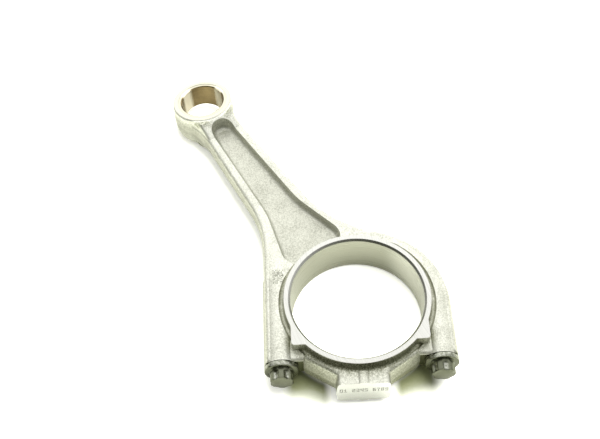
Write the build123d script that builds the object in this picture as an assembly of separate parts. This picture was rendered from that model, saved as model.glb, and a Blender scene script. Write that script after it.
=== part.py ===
from build123d import *
import os
from math import cos, pi, radians, sin, sqrt, tan

# Connecting rod of a petrol engine with an obliquely split big end.
# Frame: origin at the middle of the crank bore, +Z along both bores, +Y from the big end to the
# small end. "Across" and "along" are measured on the bolts: along runs from the cap into the rod.
# All sizes in millimetres and degrees.

# Big end
centre_distance = 138.5
crank_bore = 57.6
big_width = 21.1
rim_wall = 2.8
bore_chamfer = 0.9
split_angle = 30.0

# Small end
pin_bore = 21.0
bush_wall = 1.6
eye_wall = 3.1
eye_width = 15.5
eye_slope = 5.3
eye_draft = 3.0
bush_sunk = 0.15
pin_chamfer = 0.5
eye_chamfer = 0.6

# Beam
beam_foot_width = 33.4
beam_neck_width = 17.6
beam_thickness = 10.0
foot_thickness = 11.7
thick_until = 30.0
thin_from = 62.0
neck_rise_length = 27.0
neck_inset = 0.4
neck_below_face = 0.3
web_thickness = 2.8
draft = 6.0
forging_radius = 2.0
foot_blend = 57.0
neck_blend = 42.0

# Pocket in each side of the beam
pocket_neck_width = 11.0
pocket_knee_width = 16.6
pocket_knee_at = 62.0
pocket_foot_width = 30.0
pocket_foot_at = 36.0
pocket_end_gap = 0.8
pocket_end_flat = 0.5
pocket_corner = 8.0
pocket_knee_blend = 50.0
pocket_draft = 14.0
pocket_floor_radius = 2.5

# Bolts
thread_size = 8.0
thread_pitch = 1.0
thread_depth = 0.55
thread_length = 15.0
thread_root = 0.1
thread_flank = 0.35
thread_crest = 0.2
bolt_length = 38.0
bolt_land = 1.0
waist_size = 7.2
waist_length = 14.0
flange_size = 14.4
flange_thickness = 2.5
head_size = 10.2
head_height = 5.4
lobe_depth = 0.85
lobe_radius = 2.2
hole_clearance = 0.25
thread_clearance = 0.05
hole_beyond_bolt = 1.5

# Bosses and cap
boss_wall = 3.2
plate_set_back = 0.5
boss_fade = 22.0
boss_straight = 14.0
shoulder_sweep = 60.0
seat_depth = 26.3
seat_stock = 0.5
spotface_room = 2.2
shoulder_shift = 2.0
wing_cover = 4.2
wing_slope = 32.7
pad_width = 23.0
pad_rise = 7.7
pad_height = 15.6
rib_width = 4.4
rib_height = 0.9
groove_width = 2.4
groove_depth = 0.9
ear_across = 58.0
ear_above_seat = 4.8
ear_radius = 1.5

# Worked-out sizes
crank_r = crank_bore / 2
rim_r = crank_r + rim_wall
bush_r = pin_bore / 2 + bush_wall
eye_r = bush_r + eye_wall
bolt_across = crank_r + bolt_land + thread_size / 2
boss_r = thread_size / 2 + boss_wall
boss_edge = bolt_across + boss_r
plate_edge = boss_edge - plate_set_back
wing_r = rim_r + wing_cover
pad_reach = rim_r + pad_rise
ear_end = seat_depth - ear_above_seat
turn = radians(split_angle)
beam_slope = (beam_foot_width - beam_neck_width) / 2 / centre_distance
far = 4 * centre_distance


def from_bolts(across, along):
    """XY of a point that is given across and along the bolts."""
    return (across * cos(turn) + along * sin(turn), along * cos(turn) - across * sin(turn))


def turned(shape):
    """A shape that was made square to the bolts, turned into the rod's frame."""
    return Rot(0, 0, -split_angle) * shape


def mirrored_z(shape):
    """A shape made for +Z, joined with its mirror image."""
    return shape + mirror(shape, about=Plane.XY)


def beam_half(y):
    """Half the beam's width at the parting line."""
    return beam_foot_width / 2 - beam_slope * y


def beam_meets_circle(centre, radius):
    """Y of the two points where the beam's right-hand edge crosses a circle."""
    x, y = centre
    a = 1 + beam_slope**2
    b = -2 * beam_slope * (beam_half(0) - x) - 2 * y
    c = (beam_half(0) - x) ** 2 + y**2 - radius**2
    root = sqrt(b * b - 4 * a * c)
    return (-b - root) / (2 * a), (-b + root) / (2 * a)


def cap_half():
    """One side of the cap's outline, from the joint to the pad, across and along the bolts."""
    side = sin(radians(wing_slope))
    down = cos(radians(wing_slope))
    level = seat_depth + seat_stock
    seat_inner = (wing_r - level * down) / side
    pad_side = (wing_r - pad_width / 2 * side) / down
    return [
        (plate_edge, 0),
        (plate_edge, -level),
        (seat_inner, -level),
        (pad_width / 2, -pad_side),
        (pad_width / 2, -pad_reach),
    ]


def both_sides(points):
    """Corners of one side followed by their mirror images, as a closed outline."""
    corners = points + [(-across, along) for across, along in reversed(points)]
    return make_face(Polyline(*corners, close=True))


def outline():
    """Plan of the whole forging at its parting line."""
    beam = both_sides([(beam_half(0), 0), (beam_half(centre_distance), centre_distance)])
    end_r = eye_r - plate_set_back
    end = Pos(0, centre_distance) * Circle(end_r)
    shoulder_r = plate_edge - shoulder_shift
    shoulder_at = from_bolts(shoulder_shift, 0)
    rod_side = turned(Pos(0, far / 2) * Rectangle(far, far))
    shoulder = Pos(*shoulder_at) * Circle(shoulder_r) & rod_side
    reach = plate_edge * (cos(turn) + beam_slope * sin(turn)) - beam_half(0)
    boss_top = from_bolts(-plate_edge, reach / (sin(turn) - beam_slope * cos(turn)))
    boss = make_face(Polyline(from_bolts(-plate_edge, 0), boss_top, (0, boss_top[1]), (0, 0), close=True))
    plan = beam + end + shoulder + boss + turned(both_sides(cap_half()))

    shoulder_y = beam_meets_circle(shoulder_at, shoulder_r)[1]
    neck_y = beam_meets_circle((0, centre_distance), end_r)[0]
    at_foot = [boss_top, (beam_half(shoulder_y), shoulder_y)]
    at_neck = [(side * beam_half(neck_y), neck_y) for side in (-1, 1)]
    for places, radius in ((at_foot, foot_blend), (at_neck, neck_blend)):
        corners = [plan.vertices().sort_by_distance(Vector(*place, 0))[0] for place in places]
        plan = fillet(corners, radius)
    return plan


def side_view():
    """The forging's thickness seen from the side, thicker at the big end."""
    foot, beam = foot_thickness / 2, beam_thickness / 2
    top = [(-far, foot), (thick_until, foot), (thin_from, beam), (far, beam)]
    face = make_face(Polyline(*top, *[(y, -z) for y, z in reversed(top)], close=True))
    bends = [corner for corner in face.vertices() if abs(corner.X) < far / 2]
    return fillet(bends, foot_blend)


def upper_rims(shape, height):
    """Edges that run round the faces above a height and below its mirror image."""
    rims = [e for e in shape.edges() if abs(e.center().Z) > height and abs(e.tangent_at(0.5).Z) < 0.5]
    return [e for e in rims if e.geom_type != GeomType.LINE or abs(e.tangent_at(0.5).X) < 0.999]


def plate():
    """Beam, shoulders and cap as one drafted forging with rounded rims."""
    drafted = mirrored_z(extrude(outline(), amount=foot_thickness, taper=draft))
    thin = drafted & extrude(Plane.YZ * side_view(), amount=far, both=True)
    return fillet(upper_rims(thin, beam_thickness / 2 - forging_radius), forging_radius)


def neck():
    """End of the beam, climbing over its whole width to just under the small end's face."""
    start, wall, inside = (centre_distance - r for r in (neck_rise_length, eye_r, eye_r / 2))
    low = beam_thickness / 2
    high, top = (eye_width / 2 + (centre_distance - y) * tan(radians(eye_slope)) - neck_below_face
                 for y in (wall, inside))
    climb = [(start, 0), (start, low - forging_radius), (wall, high), (inside, top), (inside, 0)]
    side = make_face(Polyline(*climb, close=True))
    plan = offset(outline(), -neck_inset)
    solid = extrude(plan, amount=big_width, taper=draft) & extrude(Plane.YZ * side, amount=far, both=True)
    edges = upper_rims(solid, low - forging_radius)
    rims = [e for e in edges if e.center().Y < wall and abs(e.tangent_at(0.5).Y) > 0.5]
    return mirrored_z(fillet(rims, forging_radius))


def pocket():
    """The hollow in the upper side of the beam, as a solid to cut away."""
    floor = web_thickness / 2
    tip_r = pocket_neck_width / 2
    tip_y = centre_distance - eye_r - pocket_end_gap
    spread = (pocket_foot_width - pocket_knee_width) / 2 / (pocket_knee_at - pocket_foot_at)
    bottom = rim_r - pocket_floor_radius
    bottom_half = pocket_foot_width / 2 + spread * (pocket_foot_at - bottom)
    half = [(bottom_half, bottom), (pocket_knee_width / 2, pocket_knee_at), (tip_r, tip_y)]
    face = both_sides(half)
    end_round = tip_r - pocket_end_flat / 2
    rounds = ((half[0], pocket_corner), (half[1], pocket_knee_blend), (half[2], end_round))
    for (x, y), radius in rounds:
        corners = [face.vertices().sort_by_distance(Vector(side * x, y, 0))[0] for side in (-1, 1)]
        face = fillet(corners, radius)
    level = beam_thickness / 2
    hollow = extrude(Pos(0, 0, level) * face, amount=level - floor, dir=(0, 0, -1), taper=pocket_draft)
    low = [e for e in hollow.edges() if abs(e.center().Z - floor) < 0.01]
    hollow = fillet(low, pocket_floor_radius)
    hollow += extrude(Pos(0, 0, level) * face, amount=big_width)
    return hollow - Cylinder(rim_r, far)


def along_bolt(side):
    """Workplane on a bolt's axis at its seat, looking along the bolt into the rod."""
    return Plane(origin=(side * bolt_across, -seat_depth, 0), x_dir=(1, 0, 0), z_dir=(0, 1, 0))


def bosses():
    """Round bosses about the bolts: straight on the left, bent round the shoulder on the right."""
    low = beam_thickness / 2 - forging_radius
    fade = Pos(0, 0, boss_fade / 2) * Cone(boss_r, low, boss_fade)
    upright = (Align.CENTER, Align.CENTER, Align.MIN)
    foot = Pos(0, 0, -seat_stock)
    straight = seat_depth + boss_straight
    left = foot * Cylinder(boss_r, seat_stock + straight, align=upright) + Pos(0, 0, straight) * fade
    left = along_bolt(-1).location * left
    right = along_bolt(1).location * foot * Cylinder(boss_r, seat_stock + seat_depth, align=upright)
    bend_r = bolt_across - shoulder_shift
    section = Plane(origin=(bolt_across, 0, 0), x_dir=(1, 0, 0), z_dir=(0, 1, 0)) * Circle(boss_r)
    middle = Axis((shoulder_shift, 0, 0), (0, 0, 1))
    right += revolve(section, axis=middle, revolution_arc=shoulder_sweep)
    bent = Pos(shoulder_shift, 0) * Rot(0, 0, shoulder_sweep) * Pos(bend_r, 0) * Rot(-90, 0, 0)
    return left + right + bent * fade


def wings():
    """Thicker outer wall of the cap, with the pad at its middle and the ribs that cross it."""
    seat, side, front = cap_half()[2:]
    plan = both_sides([(seat[0], -ear_end), seat, side, (front[0], front[1] - pad_rise)])
    wall = mirrored_z(extrude(plan, amount=pad_height / 2, taper=draft))
    wall = fillet(upper_rims(wall, pad_height / 2 - forging_radius), forging_radius)
    rib_r = (rib_width**2 / 4 + rib_height**2) / (2 * rib_height)
    rib = Rot(90, 0, 0) * Cylinder(rib_r, pad_reach, align=(Align.CENTER, Align.CENTER, Align.MIN))
    wall += mirrored_z(Pos(0, 0, pad_height / 2 + rib_height - rib_r) * rib)
    return wall & Pos(0, -pad_reach / 2) * Box(far, pad_reach, far)


def groove():
    """Round-bottomed channel about the upper rim of the big end."""
    channel_r = groove_width / 2
    floor = foot_thickness / 2 - groove_depth
    section = Pos(0, floor + channel_r) * Circle(channel_r)
    section += Pos(0, floor + channel_r + big_width / 2) * Rectangle(groove_width, big_width)
    return revolve(Plane.XZ * Pos(rim_r + channel_r, 0) * section, axis=Axis.Z)


def body():
    """Rod and cap in one piece, before the joint is cracked and the bores are cut."""
    forging = plate() + neck() + turned(bosses() + wings())
    rim = Cylinder(rim_r, big_width)
    ear = turned(Pos(0, -ear_end / 2) * Rectangle(ear_across, ear_end))
    ear = fillet(ear.vertices(), ear_radius)
    forging -= mirrored_z(groove())
    forging += rim + extrude(ear, amount=big_width / 2, both=True)
    forging += eye()
    return forging - mirrored_z(pocket())


def wedge(width):
    """Space between the small end's sloping faces, given the width at its centre."""
    lean = tan(radians(eye_slope))
    reach = 2 * eye_r
    half = [(-reach, width / 2 + reach * lean), (reach, width / 2 - reach * lean)]
    side = make_face(Polyline(*half, *[(y, -z) for y, z in reversed(half)], close=True))
    return extrude(Plane.YZ * side, amount=reach, both=True)


def eye():
    """Small end, a round boss whose faces close in towards the tip."""
    drafted = mirrored_z(extrude(Circle(eye_r), amount=big_width, taper=eye_draft))
    solid = drafted & wedge(eye_width)
    rims = [e for e in solid.edges() if e.geom_type != GeomType.LINE and abs(e.tangent_at(0.5).Z) < 0.5]
    return Pos(0, centre_distance) * chamfer(rims, eye_chamfer)


def bolt():
    """Flanged six-lobed bolt, standing on its seat with the shank up +Z."""
    thread_r = thread_size / 2
    waist_r = waist_size / 2
    root_r = thread_r - thread_depth
    waist_top = bolt_length - thread_length
    waist_foot = waist_top - waist_length
    taper = thread_r - waist_r
    shank = [(0, 0), (thread_r, 0), (thread_r, waist_foot)]
    shank += [(waist_r, waist_foot + taper), (waist_r, waist_top)]
    rise = thread_root + thread_flank
    for count in range(int(thread_length / thread_pitch) - 1):
        start = waist_top + thread_pitch * count
        shank += [(root_r, start + thread_root * thread_pitch), (thread_r, start + rise * thread_pitch)]
        shank += [(thread_r, start + (rise + thread_crest) * thread_pitch)]
    shank += [(root_r, bolt_length - thread_pitch), (root_r - thread_depth, bolt_length), (0, bolt_length)]
    rod = revolve(Plane.XZ * make_face(Polyline(*shank, close=True)), axis=Axis.Z)

    flange_r = flange_size / 2
    flange = Pos(0, 0, -flange_thickness / 2) * Cylinder(flange_r, flange_thickness)
    flange = chamfer(flange.edges().group_by(Axis.Z)[0], flange_thickness / 3, flange_thickness / 2)
    head_r = head_size / 2
    lobes = Circle(head_r)
    for place in PolarLocations(head_r + lobe_radius - lobe_depth, 6):
        lobes -= place * Circle(lobe_radius)
    lobes = fillet(lobes.vertices(), lobe_depth / 2)
    head = extrude(lobes, amount=-(flange_thickness + head_height))
    dome_r = 2 * head_size
    dome = Pos(0, 0, dome_r - flange_thickness - head_height) * Sphere(dome_r)
    return rod + flange + (head & dome)


def spotface(side):
    """Room for a bolt's flange and head below its seat."""
    room = flange_size + 2 * spotface_room
    return along_bolt(side).location * Pos(0, 0, -pad_reach / 2) * Box(room, far, pad_reach)


def bolt_hole(side):
    """Clearance hole in the cap and thread hole in the rod."""
    wide_r = thread_size / 2 + hole_clearance
    deep_r = thread_size / 2 + thread_clearance
    depth = bolt_length + hole_beyond_bolt
    start = -seat_stock
    wide = Pos(0, 0, (start + seat_depth) / 2) * Cylinder(wide_r, seat_depth - start)
    deep = Pos(0, 0, (seat_depth + depth) / 2) * Cylinder(deep_r, depth - seat_depth)
    return along_bolt(side).location * (wide + deep)


def bores():
    """Crank bore with its chamfers."""
    bore = Cylinder(crank_r, 2 * big_width)
    mouth = Cone(crank_r, crank_r + bore_chamfer, bore_chamfer)
    return bore + mirrored_z(Pos(0, 0, (big_width - bore_chamfer) / 2) * mouth)


def bush():
    """Plain bush, its ends cut to the slope of the small end."""
    solid = Cylinder(bush_r, big_width) - Cylinder(pin_bore / 2, big_width)
    solid &= wedge(eye_width - 2 * bush_sunk)
    ends = [e for e in solid.edges() if e.geom_type != GeomType.LINE]
    inner = [e for e in ends if e.length < pi * (pin_bore + bush_wall)]
    return Pos(0, centre_distance) * chamfer(inner, pin_chamfer)


def save(name, shape):
    """Write one piece to its own STEP file."""
    shape.label = name
    export_step(shape, f"parts/{name}.step")


os.makedirs("parts", exist_ok=True)
forging = body() - bores() - turned(spotface(-1) + spotface(1))
forging -= turned(bolt_hole(-1) + bolt_hole(1))
forging -= Pos(0, centre_distance) * Cylinder(bush_r, 2 * big_width)
rod_side = turned(Pos(0, far / 2) * Box(far, far, far))
save("rod_forging", forging & rod_side)
save("bearing_cap", forging - rod_side)
save("small_end_bush", bush())
for name, side in (("bolt_left", -1), ("bolt_right", 1)):
    save(name, turned(along_bolt(side).location * bolt()))
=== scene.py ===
"""Connecting rod: its finishes, bolts and printed marks, with floor, light and camera.

Everything is in metres in the rod's own frame: origin at the middle of the crank bore, +Z along
both bores, +Y to the small end. Places on the cap are given across and along its bolts. Inside
materials, places are in millimetres, and colours are linear.
"""

from math import atan2, cos, pi, radians, sin, sqrt, tan

import bmesh
import bpy
from mathutils import Matrix, Vector


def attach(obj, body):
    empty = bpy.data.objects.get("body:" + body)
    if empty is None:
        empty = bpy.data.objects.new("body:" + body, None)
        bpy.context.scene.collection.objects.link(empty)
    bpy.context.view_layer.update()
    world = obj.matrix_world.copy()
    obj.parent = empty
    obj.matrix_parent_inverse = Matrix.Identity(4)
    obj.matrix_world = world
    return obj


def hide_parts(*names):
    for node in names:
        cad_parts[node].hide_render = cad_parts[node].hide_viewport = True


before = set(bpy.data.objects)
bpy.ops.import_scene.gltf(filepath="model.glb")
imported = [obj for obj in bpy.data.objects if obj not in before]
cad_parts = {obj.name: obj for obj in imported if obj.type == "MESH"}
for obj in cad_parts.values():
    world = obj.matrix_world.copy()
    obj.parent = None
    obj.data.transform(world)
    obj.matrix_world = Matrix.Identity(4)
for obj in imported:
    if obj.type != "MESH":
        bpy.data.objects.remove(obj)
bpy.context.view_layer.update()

MM = 0.001
SPLIT_ANGLE = radians(30.0)

# The bench that the rod lies on. Its rows point right, away from the camera, and up
ROD_SWING = radians(29.3)
BENCH = Matrix.Rotation(ROD_SWING, 3, "Z")

# Painted highlights on the bores, in degrees: bearing on the bench, from 0 away from the camera
# round by the right, and half-width. The core of the crank bore's is evenly bright
BUSH_PAINTED_HIGHLIGHTS = ((-52.0, 22.0), (50.0, 19.0))
CRANK_BORE_PAINTED_HIGHLIGHT = (82.0, 55.0)
CRANK_BORE_PAINTED_HIGHLIGHT_CORE = 8.0

# Big end, small end and cap, as the forging has them
CENTRE_DISTANCE = 138.5 * MM
CRANK_R = 28.8 * MM
BORE_CHAMFER = 0.9 * MM
RING_R = 31.6 * MM
HALF_WIDTH = 10.55 * MM
EYE_R = 15.2 * MM
EYE_BORE_R = 12.1 * MM
EYE_HALF = 7.75 * MM
EYE_SLOPE = radians(5.3)
PAD_REACH = 39.3 * MM
SEAT_DEPTH = 26.3 * MM
BOSS_R = 7.2 * MM

# Bolts, measured from their seat, with the shank above it
BOLT_ACROSS = 33.8 * MM
THREAD_PITCH = 1.0 * MM
THREAD_CREST_R = 4.0 * MM
THREAD_ROOT_R = 3.45 * MM
THREAD_FROM = 23.3 * MM
THREAD_TURNS = 11
THREAD_FLAT = 0.1 * THREAD_PITCH
THREAD_RUNOUT = 0.15 * MM
TIP_R = 2.9 * MM
TIP_AT = 38.0 * MM
HEAD_R = 5.1 * MM
FLUTE_R = 2.2 * MM
FLUTE_DEPTH = 0.85 * MM
FLUTES = 6
BOLT_STEPS = 144


def from_bolts(across, along, up=0.0):
    """A point given across and along the bolts, in the rod's frame."""
    c, s = cos(SPLIT_ANGLE), sin(SPLIT_ANGLE)
    return Vector((across * c + along * s, along * c - across * s, up))


# The bolts' own directions, across them and from their heads to their tips
ACROSS_BOLTS = from_bolts(1, 0)
ALONG_BOLTS = from_bolts(0, 1)

# ---------------------------------------------------------------------------------------------
# Node trees
# ---------------------------------------------------------------------------------------------

class Wiring:
    """Short calls for laying nodes and joining them in one tree."""

    def __init__(self, tree):
        self.tree = tree

    def node(self, kind, **settings):
        """A new shader node of a kind, with its settings."""
        made = self.tree.nodes.new("ShaderNode" + kind)
        for name, value in settings.items():
            setattr(made, name, value)
        return made

    def feed(self, socket, value):
        """Links another node's output to a socket, or sets the socket's own value."""
        if isinstance(value, bpy.types.NodeSocket):
            self.tree.links.new(value, socket)
        elif value is not None:
            socket.default_value = value

    def fill(self, made, **values):
        """Feeds a node's sockets by name, with _ for a space."""
        for name, value in values.items():
            self.feed(made.inputs[name.replace("_", " ")], value)
        return made

    def math(self, operation, *values):
        """One sum on values."""
        made = self.node("Math", operation=operation)
        for socket, value in zip(made.inputs, values):
            self.feed(socket, value)
        return made.outputs[0]

    def times(self, *values):
        """The product of two or more values, such as masks that all have to hold."""
        product = values[0]
        for value in values[1:]:
            product = self.math("MULTIPLY", product, value)
        return product

    def vector(self, operation, *values):
        """One sum on vectors."""
        made = self.node("VectorMath", operation=operation)
        for socket, value in zip(made.inputs, values):
            self.feed(socket, value)
        scalar = operation in ("LENGTH", "DOT_PRODUCT", "DISTANCE")
        return made.outputs["Value" if scalar else "Vector"]

    def axes(self, place):
        """The x, y and z of a place."""
        made = self.node("SeparateXYZ")
        self.feed(made.inputs[0], place)
        return made.outputs

    def place_at(self, *axes):
        """A place from its x, y and z."""
        made = self.node("CombineXYZ")
        for socket, value in zip(made.inputs, axes):
            self.feed(socket, value)
        return made.outputs[0]

    def step(self, value, low, high):
        """0 below low and 1 above high, smooth between; low above high turns it round."""
        made = self.node("MapRange", interpolation_type="SMOOTHSTEP")
        if low > high:
            self.fill(made, Value=value, From_Min=high, From_Max=low, To_Min=1.0, To_Max=0.0)
        else:
            self.fill(made, Value=value, From_Min=low, From_Max=high)
        return made.outputs[0]

    def span(self, value, low, high, to_low, to_high):
        """A value taken evenly from one range to another."""
        made = self.fill(self.node("MapRange"), Value=value, From_Min=low, From_Max=high,
                         To_Min=to_low, To_Max=to_high)
        return made.outputs[0]

    def blend(self, share, first, second):
        """A value or a colour between first and second."""
        colour = any(isinstance(v, tuple) or getattr(v, "type", "") == "RGBA" for v in (first, second))
        return self.mix(share, first, second, data_type="RGBA" if colour else "FLOAT")

    def tinted(self, colour, tint):
        """A colour multiplied by another."""
        return self.mix(1.0, colour, tint, data_type="RGBA", blend_type="MULTIPLY")

    def mix(self, *values, **settings):
        """A Mix node's result. Only the sockets of its data type are enabled."""
        made = self.node("Mix", **settings)
        sockets = [s for s in made.inputs if s.enabled]
        for socket, value in zip(sockets, values):
            self.feed(socket, value)
        return next(s for s in made.outputs if s.enabled)

    def noise(self, place, scale, detail=2.0, roughness=0.5):
        """Noise from 0 to 1, with scale in features a millimetre."""
        made = self.fill(self.node("TexNoise"), Vector=place, Scale=scale, Detail=detail,
                         Roughness=roughness)
        return made.outputs[0]


def effect(name, inputs, outputs):
    """A new shader node group with named sockets, and its wiring, input and output ends."""
    tree = bpy.data.node_groups.new(name, "ShaderNodeTree")
    for direction, sockets in (("INPUT", inputs), ("OUTPUT", outputs)):
        for label, kind, *default in sockets:
            socket = tree.interface.new_socket(label, in_out=direction,
                                               socket_type="NodeSocket" + kind)
            if default:
                socket.default_value = default[0]
    given = tree.nodes.new("NodeGroupInput").outputs
    out = tree.nodes.new("NodeGroupOutput").inputs
    return tree, Wiring(tree), given, out


def blasted_grain():
    """Pits and mottle that shot blasting leaves on a forging."""
    tree, w, given, out = effect(
        "blasted grain",
        [("Place", "Vector"), ("Pit Size", "Float", 0.5)],
        [("Height", "Float"), ("Mottle", "Float"), ("Speckle", "Float")])
    scale = w.math("DIVIDE", 1.0, given["Pit Size"])
    fine = w.noise(given["Place"], scale, 3.0, 0.62)
    pits = w.node("TexVoronoi", feature="SMOOTH_F1")
    w.fill(pits, Vector=given["Place"], Scale=w.times(scale, 0.9), Smoothness=0.35)
    broad = w.noise(given["Place"], 0.11, 4.0, 0.55)
    hollow = w.step(pits.outputs["Distance"], 0.05, 0.55)
    height = w.math("ADD", w.times(hollow, 0.45), w.times(fine, 0.75))
    swell = w.times(w.noise(given["Place"], 0.45, 2.0), 0.9)
    w.feed(out["Height"], w.math("ADD", height, swell))
    w.feed(out["Mottle"], w.step(broad, 0.3, 0.7))
    grit = w.noise(given["Place"], w.times(scale, 1.3), 3.0, 0.7)
    w.feed(out["Speckle"], w.step(grit, 0.36, 0.64))
    return tree


def ground_lines():
    """Fine grooves left by a wheel or a cutter, side by side along the distance Across."""
    tree, w, given, out = effect(
        "ground lines",
        [("Place", "Vector"), ("Across", "Float"), ("Spacing", "Float", 0.2)],
        [("Height", "Float"), ("Streak", "Float")])
    rate = w.math("DIVIDE", 1.0, given["Spacing"])
    waver = w.times(w.noise(given["Place"], 0.25, 1.0), 0.35)
    across = w.math("ADD", given["Across"], waver)
    lines = w.node("TexNoise", noise_dimensions="1D")
    w.fill(lines, W=across, Scale=rate, Detail=3.0, Roughness=0.7)
    bands = w.node("TexNoise", noise_dimensions="1D")
    w.fill(bands, W=across, Scale=w.times(rate, 0.16), Detail=2.0)
    w.feed(out["Height"], lines.outputs[0])
    w.feed(out["Streak"], bands.outputs[0])
    return tree


def rod_zones():
    """Masks of the rod's machined and cracked surfaces, its higher places, and its creases where shade
    is painted.
    """
    tree, w, given, out = effect(
        "rod zones",
        [("Place", "Vector")],
        [("Face", "Float"), ("Bore", "Float"), ("Seat", "Float"), ("Crack", "Float"),
         ("Flash", "Float"), ("Bush End", "Float"), ("Pad", "Float"),
         ("Eye Face", "Float"), ("High", "Float"), ("Crease", "Float")])
    x, y, z = w.axes(given["Place"])
    up = w.math("ABSOLUTE", z)
    level = w.place_at(x, y)
    radius = w.vector("LENGTH", level)
    along = w.vector("DOT_PRODUCT", level, tuple(ALONG_BOLTS))
    across = w.math("ABSOLUTE", w.vector("DOT_PRODUCT", level, tuple(ACROSS_BOLTS)))
    eye_from = w.vector("DISTANCE", level, (0.0, CENTRE_DISTANCE / MM, 0.0))
    lean = w.times(w.math("SUBTRACT", CENTRE_DISTANCE / MM, y), tan(EYE_SLOPE))
    eye_top = w.math("SUBTRACT", up, w.math("ADD", lean, EYE_HALF / MM))

    top, crank, lip = HALF_WIDTH / MM, CRANK_R / MM, (CRANK_R + BORE_CHAMFER) / MM
    eye_wall, eye_bore, pad_front = EYE_R / MM, EYE_BORE_R / MM, -PAD_REACH / MM

    # Ground: the ring's faces with the bore's chamfers, the eye's sloping faces and the front pad
    ring_face = w.step(up, top - 0.12, top - 0.04)
    chamfer = w.times(w.step(radius, lip + 0.06, lip + 0.02), w.step(up, top - 1.05, top - 0.95))
    eye_face = w.times(w.step(eye_top, -0.12, -0.05), w.step(eye_from, eye_wall + 1.0, eye_wall + 0.6))
    pad = w.step(along, pad_front + 0.05, pad_front + 0.02)
    ground = w.math("MAXIMUM", w.math("MAXIMUM", ring_face, eye_face), w.math("MAXIMUM", pad, chamfer))
    w.feed(out["Face"], ground)
    w.feed(out["Pad"], pad)
    w.feed(out["Eye Face"], eye_face)
    w.feed(out["Bush End"], w.step(eye_top, -0.28, -0.2))

    # Honed or bored: the crank bore and the bush's bore
    w.feed(out["Bore"], w.math("MAXIMUM", w.step(radius, crank + 0.15, crank + 0.08),
                               w.step(eye_from, eye_bore + 0.2, eye_bore + 0.1)))

    # Cut seats under the bolt heads, the cracked joint outside the bore, and the dies' flash line
    from_seat = w.math("ABSOLUTE", w.math("ADD", along, SEAT_DEPTH / MM))
    w.feed(out["Seat"], w.times(w.step(from_seat, 0.06, 0.03), w.step(across, 24.0, 24.2)))
    w.feed(out["Crack"], w.times(w.step(w.math("ABSOLUTE", along), 0.012, 0.004),
                                 w.step(radius, crank + 0.1, crank + 0.15)))
    w.feed(out["Flash"], w.step(up, 0.75, 0.45))

    # Paler towards both faces: the upper edges, and most of all those of the small end
    neck = w.times(w.step(up, 5.05, 5.7), w.step(y, 100.0, 108.0))
    w.feed(out["High"], w.math("ADD", w.times(w.step(up, 2.6, 4.4), 0.5), w.times(neck, 0.5)))

    # Painted shade in the folds beside the neck, and between the ring and the cap's arms
    folds = w.times(w.step(eye_from, eye_wall + 0.04, eye_wall + 0.1),
                    w.step(eye_from, eye_wall + 4.3, eye_wall + 0.7),
                    w.step(w.math("ABSOLUTE", x), 3.0, 5.5), w.step(up, 6.0, 6.6),
                    w.step(y, 131.0, 127.0))
    ring_wall = RING_R / MM
    arms = w.times(w.step(radius, ring_wall + 7.9, ring_wall - 0.1), w.step(along, -13.0, -18.0),
                   w.step(up, top - 0.1, top - 0.25))
    w.feed(out["Crease"], w.math("MAXIMUM", folds, arms))
    return tree


def bolt_zones():
    """Mask of the bolts' bare flange rims, painted brighter as highlights, and of painted glints in
    their flutes.
    """
    tree, w, given, out = effect("bolt zones", [("Place", "Vector")], [("Bare", "Float")])
    along = w.math("ADD", w.vector("DOT_PRODUCT", given["Place"], tuple(ALONG_BOLTS)), SEAT_DEPTH / MM)
    across = w.math("ABSOLUTE", w.vector("DOT_PRODUCT", given["Place"], tuple(ACROSS_BOLTS)))
    aside = w.math("SUBTRACT", across, BOLT_ACROSS / MM)
    radius = w.vector("LENGTH", w.place_at(aside, w.axes(given["Place"])["Z"]))
    rim = w.times(w.step(along, -2.3, -2.1), w.step(along, -0.15, -0.35), w.step(radius, 6.9, 7.1))
    flute_glint = w.times(w.step(radius, 4.8, 4.3), w.step(along, -7.7, -6.2), w.step(along, -3.2, -4.4))
    w.feed(out["Bare"], w.math("MAXIMUM", rim, flute_glint))
    return tree


GRAIN = blasted_grain()
LINES = ground_lines()
ZONES = rod_zones()


def finish_of(name):
    """An empty material with its wiring, its shader and the place in millimetres."""
    made = bpy.data.materials.new(name)
    made.use_nodes = True
    w = Wiring(made.node_tree)
    shader = made.node_tree.nodes["Principled BSDF"]
    place = w.vector("SCALE", w.node("TexCoord").outputs["Object"])
    place.node.inputs["Scale"].default_value = 1 / MM
    return made, w, shader, place


def use(w, tree, **values):
    """The outputs of an effect that is placed in a material with its own values."""
    made = w.node("Group")
    made.node_tree = tree
    return w.fill(made, **values).outputs


def bump(w, height, depth, strength):
    """A Bump node's normal, for a height from 0 to 1 that is depth metres deep."""
    return w.fill(w.node("Bump"), Height=height, Strength=strength, Distance=depth).outputs[0]


def painted_crevice_shade(w, reach):
    """Mask of painted shade: 1 in corners and recesses that ambient occlusion finds, 0 on open
    surfaces.
    """
    nearby = w.fill(w.node("AmbientOcclusion", samples=8, only_local=True), Distance=reach)
    return w.step(nearby.outputs["AO"], 0.85, 0.25)


def facing(w, outward, bearing, edge, core):
    """1 where a direction is within core degrees of a bearing, 0 past edge degrees from it."""
    aim = BENCH.transposed() @ Vector((sin(radians(bearing)), cos(radians(bearing)), 0.0))
    nearness = w.vector("DOT_PRODUCT", outward, tuple(aim))
    return w.step(nearness, cos(radians(edge)), cos(radians(core)))


def outward_from(w, place, axis):
    """The level direction from an upright axis to the place."""
    apart = w.vector("SUBTRACT", place, axis)
    return w.vector("NORMALIZE", w.vector("MULTIPLY", apart, (1.0, 1.0, 0.0)))


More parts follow.
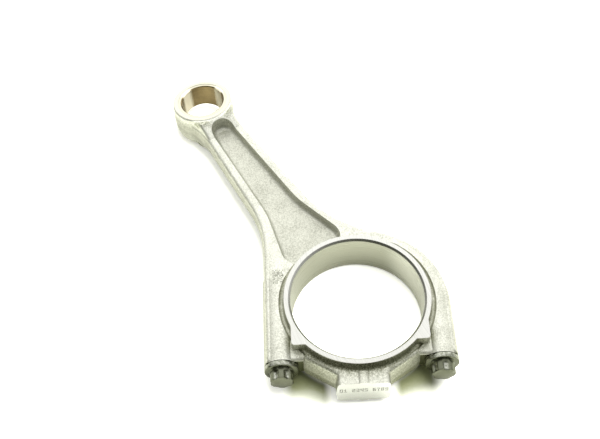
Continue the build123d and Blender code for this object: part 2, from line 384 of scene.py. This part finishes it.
def forged_steel():
    """Shot-blasted forging with ground faces, honed bore, spot-faced seats and a cracked joint."""
    made, w, shader, place = finish_of("forged steel")
    zone = use(w, ZONES, Place=place)
    grain = use(w, GRAIN, Place=place, Pit_Size=0.8)
    wheel_at = (150.0, -40.0, 0.0)
    wheel = use(w, LINES, Place=place, Across=w.vector("DISTANCE", place, wheel_at), Spacing=0.12)
    hone = use(w, LINES, Place=place, Across=w.axes(place)["Z"], Spacing=0.1)

    raw = w.blend(grain["Mottle"], (0.46, 0.465, 0.395, 1.0), (0.575, 0.58, 0.505, 1.0))
    raw = w.blend(w.times(grain["Speckle"], 0.5), raw, (0.84, 0.84, 0.75, 1.0))
    raw = w.blend(w.times(zone["Flash"], 0.3), raw, (0.74, 0.74, 0.66, 1.0))
    raw = w.blend(zone["High"], raw, w.tinted(raw, (1.42, 1.42, 1.47, 1.0)))
    ground = w.blend(wheel["Streak"], (0.56, 0.56, 0.53, 1.0), (0.64, 0.64, 0.61, 1.0))
    honed = w.blend(hone["Streak"], (0.44, 0.445, 0.36, 1.0), (0.52, 0.525, 0.44, 1.0))
    # Painted highlight: the crank bore is paler where it faces a given bearing on the bench, standing
    # for a bright reflection
    bearing, half_width = CRANK_BORE_PAINTED_HIGHLIGHT
    painted_highlight = facing(w, outward_from(w, place, (0.0, 0.0, 0.0)), bearing, half_width, CRANK_BORE_PAINTED_HIGHLIGHT_CORE)
    honed = w.blend(painted_highlight, honed, (0.93, 0.935, 0.84, 1.0))

    colour = w.blend(zone["Face"], raw, ground)
    colour = w.blend(zone["Eye Face"], colour, (0.66, 0.645, 0.54, 1.0))
    # Painted reflection: the pad's front is painted paler than the other ground faces, for the bright
    # floor it mirrors
    colour = w.blend(zone["Pad"], colour, (0.91, 0.92, 0.90, 1.0))
    # Painted shade: the spot-faced seats are darkened as if in shadow
    colour = w.blend(zone["Seat"], colour, (0.17, 0.175, 0.12, 1.0))
    colour = w.blend(zone["Bore"], colour, honed)
    colour = w.blend(zone["Crack"], colour, (0.50, 0.50, 0.48, 1.0))
    # Painted shade in the creases, broken up by the speckle
    crease_shade = w.times(zone["Crease"], w.span(grain["Speckle"], 0.0, 1.0, 0.95, 0.35))
    # Painted shade: the colour is darkened in corners and recesses found by ambient occlusion
    shade = w.math("MAXIMUM", painted_crevice_shade(w, 2.5 * MM), crease_shade)
    dark = w.tinted(colour, (0.34, 0.35, 0.24, 1.0))
    w.feed(shader.inputs["Base Color"], w.blend(shade, colour, dark))

    cut = w.math("MAXIMUM", zone["Face"], zone["Seat"])
    rough = w.span(grain["Speckle"], 0.0, 1.0, 0.58, 0.42)
    rough = w.blend(cut, rough, w.span(wheel["Streak"], 0.0, 1.0, 0.30, 0.18))
    rough = w.blend(zone["Bore"], rough, w.span(hone["Streak"], 0.0, 1.0, 0.34, 0.24))
    rough = w.blend(zone["Crack"], rough, 0.5)
    w.feed(shader.inputs["Roughness"], rough)
    shader.inputs["Metallic"].default_value = 1.0

    smooth = w.math("MAXIMUM", cut, zone["Bore"])
    height = w.blend(smooth, grain["Height"], w.times(wheel["Height"], 0.06))
    height = w.blend(zone["Bore"], height, w.times(hone["Height"], 0.05))
    w.feed(shader.inputs["Normal"], bump(w, height, 0.11 * MM, 1.0))
    return made


def bush_bronze():
    """Bored bronze with two painted highlights on its bore, its end faces ground pale with the small
    end.
    """
    made, w, shader, place = finish_of("bush bronze")
    lines = use(w, LINES, Place=place, Across=w.axes(place)["Z"], Spacing=0.14)
    zone = use(w, ZONES, Place=place)

    colour = w.blend(lines["Streak"], (0.275, 0.205, 0.10, 1.0), (0.36, 0.28, 0.145, 1.0))
    tarnish = w.step(w.noise(place, 0.35, 3.0), 0.35, 0.7)
    colour = w.blend(w.times(tarnish, 0.35), colour, (0.19, 0.14, 0.07, 1.0))
    outward = outward_from(w, place, (0.0, CENTRE_DISTANCE / MM, 0.0))
    bands = 0.0
    # Painted highlights: the bore is paler where it faces given bearings on the bench
    for bearing, half_width in BUSH_PAINTED_HIGHLIGHTS:
        painted_highlight = facing(w, outward, bearing, half_width, half_width / 3)
        bands = w.math("MAXIMUM", bands, painted_highlight)
        colour = w.blend(w.times(painted_highlight, 0.95), colour, (1.0, 0.93, 0.72, 1.0))
    colour = w.blend(zone["Bush End"], colour, (0.66, 0.63, 0.50, 1.0))
    w.feed(shader.inputs["Base Color"], colour)

    rough = w.span(lines["Streak"], 0.0, 1.0, 0.24, 0.14)
    w.feed(shader.inputs["Roughness"], w.blend(zone["Bush End"], rough, 0.3))
    # The painted highlights are less metallic, so that they also take the lamp's light
    w.feed(shader.inputs["Metallic"], w.span(bands, 0.0, 1.0, 1.0, 0.35))
    w.feed(shader.inputs["Normal"], bump(w, lines["Height"], 0.006 * MM, 0.6))
    return made


def bolt_steel():
    """Olive phosphated steel, oiled, its flange rim bare steel with a painted highlight, and painted
    glints in its flutes.
    """
    made, w, shader, place = finish_of("bolt steel")
    grain = use(w, GRAIN, Place=place, Pit_Size=0.22)
    bare_and_glint = use(w, bolt_zones(), Place=place)
    colour = w.blend(grain["Mottle"], (0.095, 0.102, 0.066, 1.0), (0.145, 0.153, 0.108, 1.0))
    colour = w.blend(w.times(grain["Speckle"], 0.3), colour, (0.28, 0.29, 0.22, 1.0))
    # Painted highlights: pale steel colour on the flange rims, and painted glints in the flutes
    bright_mottle = w.step(w.noise(place, 0.7, 4.0, 0.65), 0.38, 0.62)
    bare = w.blend(bright_mottle, (0.22, 0.23, 0.18, 1.0), (0.48, 0.49, 0.43, 1.0))
    colour = w.blend(bare_and_glint["Bare"], colour, bare)
    # Painted shade: darker in the bolt's corners and recesses
    dark = w.tinted(colour, (0.25, 0.26, 0.16, 1.0))
    w.feed(shader.inputs["Base Color"], w.blend(painted_crevice_shade(w, 1.2 * MM), colour, dark))
    w.feed(shader.inputs["Roughness"], w.span(grain["Speckle"], 0.0, 1.0, 0.34, 0.17))
    shader.inputs["Metallic"].default_value = 1.0
    w.feed(shader.inputs["Normal"], bump(w, grain["Height"], 0.02 * MM, 0.5))
    return made


def marking_ink():
    """Worn dark ink of the figures and the dotted patch."""
    made, w, shader, place = finish_of("marking ink")
    wear = w.step(w.noise(place, 1.4, 3.0), 0.35, 0.65)
    colour = w.blend(wear, (0.035, 0.036, 0.026, 1.0), (0.16, 0.165, 0.12, 1.0))
    w.feed(shader.inputs["Base Color"], colour)
    w.feed(shader.inputs["Roughness"], w.span(wear, 0.0, 1.0, 0.55, 0.75))
    return made


def dress(node, material):
    """Puts a finish on a CAD node, in each of its slots."""
    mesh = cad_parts[node].data
    if not mesh.materials:
        mesh.materials.append(material)
    for slot in range(len(mesh.materials)):
        mesh.materials[slot] = material


forging_finish = forged_steel()
dress("rod_forging", forging_finish)
dress("bearing_cap", forging_finish)
dress("small_end_bush", bush_bronze())

# ---------------------------------------------------------------------------------------------
# Bolts. Made upright on their seat, shank up, then laid along their holes
# ---------------------------------------------------------------------------------------------

# Radius and height of each ring from the thread down to the flange, then of those that round off
# the head's end, in millimetres. Even rows between them let the flutes be pressed in
SHANK_RINGS = ((3.6, 22.8), (3.6, 9.4), (4.0, 9.0), (4.0, 0.0), (6.75, 0.0), (7.1, -0.12),
               (7.2, -0.3), (7.2, -2.1), (7.12, -2.3), (6.9, -2.42), (5.35, -2.5), (5.1, -2.8))
HEAD_ROWS = 14
HEAD_FROM = -2.8
HEAD_TO = -6.85
HEAD_END_RINGS = ((5.02, -7.08), (4.7, -7.26), (4.35, -7.38), (3.2, -7.6), (1.6, -7.8), (0.5, -7.86))
# Heights at which the flutes run out, under the flange and at the head's end, and the length
# over which they deepen from there, in millimetres
FLUTES_FROM = -2.7
FLUTES_FROM_EASE = 1.6
FLUTES_TO = -8.3
FLUTES_TO_EASE = 2.1


def new_piece(name, shape, material, body):
    """The finished shape as a piece that rides on a body."""
    bmesh.ops.recalc_face_normals(shape, faces=shape.faces)
    mesh = bpy.data.meshes.new(name)
    shape.to_mesh(mesh)
    shape.free()
    mesh.shade_smooth()
    mesh.set_sharp_from_angle(angle=radians(32))
    mesh.materials.append(material)
    piece = bpy.data.objects.new(name, mesh)
    bpy.context.scene.collection.objects.link(piece)
    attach(piece, body)
    return piece


def next_ring(shape, rim, radius, height, turn=0.0):
    """Extends an open rim to a level ring and gives the new rim."""
    made = bmesh.ops.extrude_edge_only(shape, edges=rim)["geom"]
    ends = [v for v in made if isinstance(v, bmesh.types.BMVert)]
    grow = radius / ends[0].co.xy.length
    bmesh.ops.scale(shape, verts=ends, vec=(grow, grow, 0.0))
    bmesh.ops.translate(shape, verts=ends, vec=(0.0, 0.0, height))
    bmesh.ops.rotate(shape, verts=ends, cent=(0, 0, 0), matrix=Matrix.Rotation(turn, 3, "Z"))
    bmesh.ops.remove_doubles(shape, verts=ends, dist=0.0001 * MM)
    return [e for e in shape.edges
            if e.is_boundary and all(abs(v.co.z - height) < 0.001 * MM for v in e.verts)]


def cut_thread(shape):
    """One-start thread: a row of teeth is screwed through a full turn and joined to itself."""
    flank = 0.6 * (THREAD_CREST_R - THREAD_ROOT_R)
    row = [(THREAD_ROOT_R, 0.0)]
    for tooth in range(1, THREAD_TURNS + 1):
        foot = tooth * THREAD_PITCH
        row += [(THREAD_ROOT_R, foot), (THREAD_ROOT_R, foot + THREAD_FLAT)]
        row += [(THREAD_CREST_R, foot + THREAD_FLAT + flank)]
        row += [(THREAD_CREST_R, foot + 2 * THREAD_FLAT + flank)]
    row += [(THREAD_ROOT_R, (THREAD_TURNS + 1 + turn) * THREAD_PITCH) for turn in (0, 1)]
    corners = [shape.verts.new((r, 0.0, THREAD_FROM + z)) for r, z in row]
    edges = [shape.edges.new(pair) for pair in zip(corners, corners[1:])]
    bmesh.ops.spin(shape, geom=corners + edges, cent=(0, 0, 0), axis=(0, 0, 1),
                   dvec=(0.0, 0.0, THREAD_PITCH / BOLT_STEPS), angle=2 * pi, steps=BOLT_STEPS,
                   use_merge=False, use_duplicate=False)
    bmesh.ops.remove_doubles(shape, verts=shape.verts, dist=0.001 * MM)
    bmesh.ops.holes_fill(shape, edges=[e for e in shape.edges if e.is_boundary], sides=8)


def ramp(run, length):
    """0 before a run starts, 1 past its length, and straight between them."""
    return min(1.0, max(0.0, run / length))


def scoop_flutes(shape, turn):
    """Presses the flutes into the round head, fading before its end and under the flange."""
    axis_r = HEAD_R + FLUTE_R - FLUTE_DEPTH
    pitch = 2 * pi / FLUTES
    for corner in shape.verts:
        z = corner.co.z / MM
        fade = ramp(z - FLUTES_TO, FLUTES_TO_EASE) * ramp(FLUTES_FROM - z, FLUTES_FROM_EASE)
        around = atan2(corner.co.y, corner.co.x) - turn
        off = (around + pitch / 2) % pitch - pitch / 2
        side = axis_r * sin(off)
        if fade == 0.0 or abs(side) >= FLUTE_R:
            continue
        floor = axis_r * cos(off) - sqrt(FLUTE_R**2 - side**2)
        depth = max(0.0, HEAD_R - floor)
        ease = fade * fade * (3 - 2 * fade)
        shrink = 1 - depth * ease / HEAD_R
        corner.co.x *= shrink
        corner.co.y *= shrink


def make_bolt(name, side, turn, material):
    """A bolt with a true helical thread, a bare-rimmed flange and a scooped six-flute head."""
    shape = bmesh.new()
    cut_thread(shape)
    half_step = pi / BOLT_STEPS
    rims = [e for e in shape.edges if e.is_boundary]
    between = THREAD_FROM + 2 * THREAD_PITCH
    low_rim = [e for e in rims if e.verts[0].co.z < between]
    high_rim = [e for e in rims if e.verts[0].co.z >= between]
    top = THREAD_FROM + (THREAD_TURNS + 3) * THREAD_PITCH + THREAD_RUNOUT
    high_rim = next_ring(shape, high_rim, THREAD_ROOT_R, top, half_step)
    high_rim = next_ring(shape, high_rim, TIP_R, TIP_AT)
    bmesh.ops.edgeloop_fill(shape, edges=high_rim)
    low_rim = next_ring(shape, low_rim, THREAD_ROOT_R, THREAD_FROM - THREAD_RUNOUT, half_step)
    rows = [(HEAD_R / MM, HEAD_FROM + (HEAD_TO - HEAD_FROM) * row / HEAD_ROWS)
            for row in range(1, HEAD_ROWS + 1)]
    for radius, height in (*SHANK_RINGS, *rows, *HEAD_END_RINGS):
        low_rim = next_ring(shape, low_rim, radius * MM, height * MM)
    bmesh.ops.edgeloop_fill(shape, edges=low_rim)
    scoop_flutes(shape, turn)
    lay = Matrix((ACROSS_BOLTS, (0, 0, -1), ALONG_BOLTS)).transposed().to_4x4()
    seat = Matrix.Translation(from_bolts(side * BOLT_ACROSS, -SEAT_DEPTH))
    bmesh.ops.transform(shape, verts=shape.verts, matrix=seat @ lay)
    piece = new_piece(name + "_detailed", shape, material, name)
    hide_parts(name)


bolt_finish = bolt_steel()
make_bolt("bolt_left", -1, 0.0, bolt_finish)
make_bolt("bolt_right", 1, radians(40.0), bolt_finish)

# ---------------------------------------------------------------------------------------------
# Marks on the cap and the rod: plain figures and a dotted patch, each a field of thin dots
# ---------------------------------------------------------------------------------------------

# Each figure is five rows of three dots, and each row an octal digit
DIGITS = ("75557", "26227", "71747", "71717", "55711", "74717", "74757", "71222", "75757", "75717")
NUMBER = "01 2345 6789"
DIGIT_STEP = 1.7 * MM
DOT_ACROSS = 0.45 * MM
DOT_UP = 0.62 * MM
DOT_R = 0.22 * MM
DOT_PROUD = 0.02 * MM
DOT_THICK = 0.1 * MM
NUMBER_UP = 1.6 * MM
PATCH_ROWS = 11
PATCH_COLUMNS = 8
PATCH_ROW_STEP = 0.66 * MM
PATCH_COLUMN_STEP = 0.62 * MM
PATCH_FROM = 10.8 * MM


def add_dot(shape, at, outward):
    """A thin disc, sunk into the surface but for its face."""
    aim = outward.to_track_quat("Z", "Y").to_matrix().to_4x4()
    middle = at + outward * (DOT_PROUD - DOT_THICK / 2)
    bmesh.ops.create_cone(shape, cap_ends=True, cap_tris=False, segments=8, radius1=DOT_R,
                          radius2=DOT_R, depth=DOT_THICK, matrix=Matrix.Translation(middle) @ aim)


def number_on_pad(material):
    """A row of figures across the front of the cap's pad."""
    shape = bmesh.new()
    forward = from_bolts(0, -1)
    for place, figure in enumerate(NUMBER):
        if figure == " ":
            continue
        left = (place - (len(NUMBER) - 1) / 2) * DIGIT_STEP - DOT_ACROSS
        for row, bits in enumerate(DIGITS[int(figure)]):
            for column in range(3):
                if int(bits) >> (2 - column) & 1:
                    up = NUMBER_UP + (2 - row) * DOT_UP
                    at = from_bolts(left + column * DOT_ACROSS, -PAD_REACH, up)
                    add_dot(shape, at, forward)
    new_piece("cap_number", shape, material, "cap")


def patch_on_boss(material):
    """A patch of dots on top of the left boss, in a plain repeating pattern."""
    shape = bmesh.new()
    for row in range(PATCH_ROWS):
        for column in range(PATCH_COLUMNS):
            if (7 * row + 3 * column * column + row * column) % 5 > 2:
                continue
            aside = (column - (PATCH_COLUMNS - 1) / 2) * PATCH_COLUMN_STEP
            up = sqrt(BOSS_R**2 - aside**2)
            outward = from_bolts(aside / BOSS_R, 0, up / BOSS_R)
            along = PATCH_FROM + row * PATCH_ROW_STEP
            add_dot(shape, from_bolts(aside - BOLT_ACROSS, along, up), outward)
    new_piece("boss_patch", shape, material, "rod")


ink = marking_ink()
number_on_pad(ink)
patch_on_boss(ink)

# ---------------------------------------------------------------------------------------------
# Floor, light and camera. Bench places are right, away from the camera and up, from the centre
# of the big end's upper face
# ---------------------------------------------------------------------------------------------

CAMERA_PITCH = radians(55.09)
CAMERA_ROLL = radians(-3.65)
CAMERA_LENS = 56.06
CAMERA_SENSOR = 36.0
CAMERA_AT = (-22.35 * MM, -200.6 * MM, 347.5 * MM)
FLOOR_HALF = 8.0
FLOOR_GAP = 0.02 * MM
LAMP_AT = (0.3, 0.22, 0.95)
LAMP_WIDTH = 0.9
LAMP_WATTS = 30.0
WORLD_STRENGTH = 1.75


def from_bench(right, away, up):
    """A point on the bench, in the rod's frame."""
    return BENCH.transposed() @ Vector((right, away, up)) + Vector((0, 0, HALF_WIDTH))


def in_scene(name, data):
    """A new object of the stage, linked into the scene."""
    made = bpy.data.objects.new(name, data)
    bpy.context.scene.collection.objects.link(made)
    return made


def set_camera():
    """The camera, looking down on the bench."""
    c, s = cos(CAMERA_PITCH), sin(CAMERA_PITCH)
    tilt = Matrix(((1, 0, 0), (0, -s, -c), (0, c, -s)))
    right, down, ahead = Matrix.Rotation(CAMERA_ROLL, 3, "Z") @ tilt @ BENCH
    data = bpy.data.cameras.new("camera")
    data.lens = CAMERA_LENS
    data.sensor_width = CAMERA_SENSOR
    data.clip_start = 0.01
    camera = in_scene("camera", data)
    turned = Matrix((right, -down, -ahead)).transposed().to_4x4()
    camera.matrix_world = Matrix.Translation(from_bench(*CAMERA_AT)) @ turned
    bpy.context.scene.camera = camera


def hang_lamp():
    """A soft box that faces the rod's middle and lights the floor, unseen by the bright metal."""
    data = bpy.data.lights.new("floor box", "AREA")
    data.size = LAMP_WIDTH
    data.energy = LAMP_WATTS
    lamp = in_scene("floor box", data)
    lamp.visible_glossy = False
    at = from_bench(*LAMP_AT)
    aim = Vector((0, CENTRE_DISTANCE / 3, 0)) - at
    turned = aim.to_track_quat("-Z", "Y").to_matrix().to_4x4()
    lamp.matrix_world = Matrix.Translation(at) @ turned


def cap_notches(w):
    """Mask of a painted shadow on the floor between the bolt heads and the cap's arms."""
    spot = w.node("TexCoord").outputs["Object"]
    along = w.vector("DOT_PRODUCT", spot, tuple(ALONG_BOLTS))
    across = w.math("ABSOLUTE", w.vector("DOT_PRODUCT", spot, tuple(ACROSS_BOLTS)))
    nearby = w.fill(w.node("AmbientOcclusion", samples=16), Distance=35 * MM)
    return w.times(w.step(nearby.outputs["AO"], 0.85, 0.45),
                   w.step(across, 12 * MM, 17 * MM), w.step(across, 36 * MM, 29 * MM),
                   w.step(along, -12 * MM, -20 * MM), w.step(along, -49 * MM, -41 * MM),
                   w.step(w.vector("LENGTH", spot), 32 * MM, 37 * MM))


def lay_floor():
    """Pale bench top: burnt out to the camera, dimmer in the metal's reflections, with painted shadows
    between the bolt heads and the cap's arms.
    """
    shape = bmesh.new()
    bmesh.ops.create_grid(shape, x_segments=1, y_segments=1, size=FLOOR_HALF)
    bmesh.ops.translate(shape, verts=shape.verts, vec=(0, 0, -HALF_WIDTH - FLOOR_GAP))
    mesh = bpy.data.meshes.new("floor")
    shape.to_mesh(mesh)
    shape.free()
    made = bpy.data.materials.new("floor")
    made.use_nodes = True
    shader = made.node_tree.nodes["Principled BSDF"]
    w = Wiring(made.node_tree)
    seen = w.node("LightPath").outputs["Is Camera Ray"]
    pale = w.blend(seen, (0.52, 0.525, 0.455, 1.0), (0.86, 0.87, 0.80, 1.0))
    notches = cap_notches(w)
    # Painted shadow: the floor is darkened to olive in the notches, and its glow is taken away there
    w.feed(shader.inputs["Base Color"], w.blend(notches, pale, (0.21, 0.225, 0.11, 1.0)))
    shader.inputs["Emission Color"].default_value = (1.0, 1.0, 0.97, 1.0)
    w.feed(shader.inputs["Emission Strength"], w.times(seen, w.span(notches, 0.0, 1.0, 0.35, 0.0)))
    shader.inputs["Roughness"].default_value = 0.75
    mesh.materials.append(made)
    floor = in_scene("floor", mesh)


def light_studio():
    """White tent round the bench: bright above and behind, dim and olive low in front."""
    world = bpy.data.worlds.new("studio")
    bpy.context.scene.world = world
    world.use_nodes = True
    w = Wiring(world.node_tree)
    backdrop = world.node_tree.nodes["Background"]
    look = w.node("TexCoord").outputs["Generated"]
    # The tent brightens upwards and to the rear right, with a brighter wall behind the bench
    tent = BENCH[0] * 0.2 + BENCH[1] * 0.55 + Vector((0.0, 0.0, 1.0))
    tent_glow = w.step(w.vector("DOT_PRODUCT", look, tuple(tent)), 0.0, 0.8)
    back = BENCH[1] * 1.1 + Vector((0.0, 0.0, 0.45))
    back_glow = w.step(w.vector("DOT_PRODUCT", look, tuple(back)), 0.65, 1.02)
    glow = w.math("ADD", w.times(tent_glow, 0.62), w.times(back_glow, 0.38))
    colour = w.blend(glow, (0.026, 0.028, 0.013, 1.0), (1.0, 1.0, 0.98, 1.0))
    w.feed(backdrop.inputs["Color"], colour)
    backdrop.inputs["Strength"].default_value = WORLD_STRENGTH
    bpy.context.scene.view_settings.view_transform = "Standard"


lay_floor()
light_studio()
hang_lamp()
set_camera()
